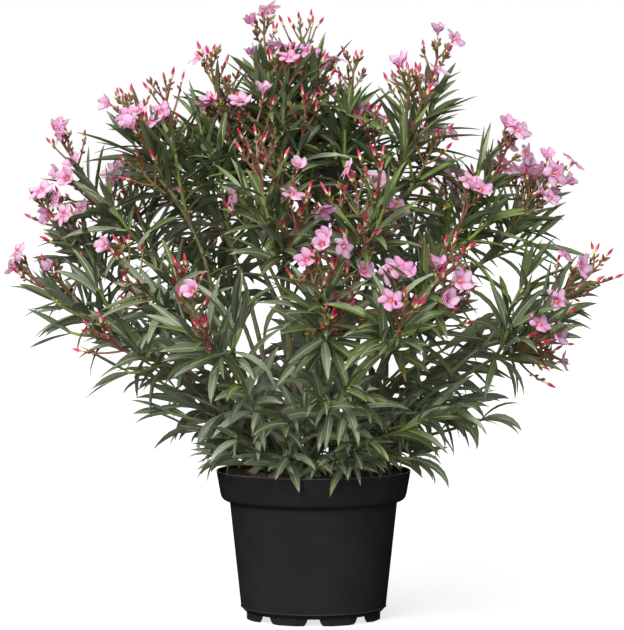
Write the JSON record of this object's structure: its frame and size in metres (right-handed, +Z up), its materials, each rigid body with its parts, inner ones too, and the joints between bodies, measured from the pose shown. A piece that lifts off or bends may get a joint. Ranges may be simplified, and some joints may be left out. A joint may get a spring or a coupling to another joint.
{
  "type": "potted oleander shrub",
  "caption": "Many-stemmed flowering oleander shrub with narrow whorled leaves and pink blossom heads, standing in a round black nursery container with a deep rim collar.",
  "frame": {"origin": "centre of the container's flat underside, on the surface that it stands on", "axes": "+Z up along the container's axis, -Y towards the front, +X to the right seen from the front"},
  "size_m": [1.0107, 0.7823, 1.0147],
  "materials": {
    "container": "satin",
    "substrate": "matte",
    "bark": "matte",
    "leaf": "satin",
    "blossom": "matte",
    "bud": "satin"
  },
  "bodies": {
    "root": {"bough_crest_left_side": "bark", "bough_crest_right_side": "bark", "bough_front_right_side": "bark", "bough_left_low_side": "bark", "bough_left_tall_side": "bark", "bough_right_low_side": "bark", "bough_right_tall_side": "bark", "bough_side_left_side": "bark", "foliage_back_left": "leaf", "foliage_back_right": "leaf", "foliage_back_tall": "leaf", "foliage_crest_left": "leaf", "foliage_crest_left_side": "leaf", "foliage_crest_right": "leaf", "foliage_crest_right_side": "leaf", "foliage_front_left": "leaf", "foliage_front_middle": "leaf", "foliage_front_right": "leaf", "foliage_front_right_side": "leaf", "foliage_inner_left": "leaf", "foliage_inner_right": "leaf", "foliage_left_crown": "leaf", "foliage_left_low": "leaf", "foliage_left_low_side": "leaf", "foliage_left_tall": "leaf", "foliage_left_tall_side": "leaf", "foliage_low_back": "leaf", "foliage_low_back_left": "leaf", "foliage_low_back_right": "leaf", "foliage_low_front": "leaf", "foliage_low_front_left": "leaf", "foliage_low_front_right": "leaf", "foliage_low_left": "leaf", "foliage_low_right": "leaf", "foliage_right_crown": "leaf", "foliage_right_low": "leaf", "foliage_right_low_side": "leaf", "foliage_right_tall": "leaf", "foliage_right_tall_side": "leaf", "foliage_side_left": "leaf", "foliage_side_left_side": "leaf", "pot": "container", "stem_back_left": "bark", "stem_back_right": "bark", "stem_back_tall": "bark", "stem_crest_left": "bark", "stem_crest_right": "bark", "stem_front_left": "bark", "stem_front_middle": "bark", "stem_front_right": "bark", "stem_inner_left": "bark", "stem_inner_right": "bark", "stem_left_crown": "bark", "stem_left_low": "bark", "stem_left_tall": "bark", "stem_right_crown": "bark", "stem_right_low": "bark", "stem_right_tall": "bark", "stem_side_left": "bark", "substrate": "substrate"}
  },
  "joints": []
}
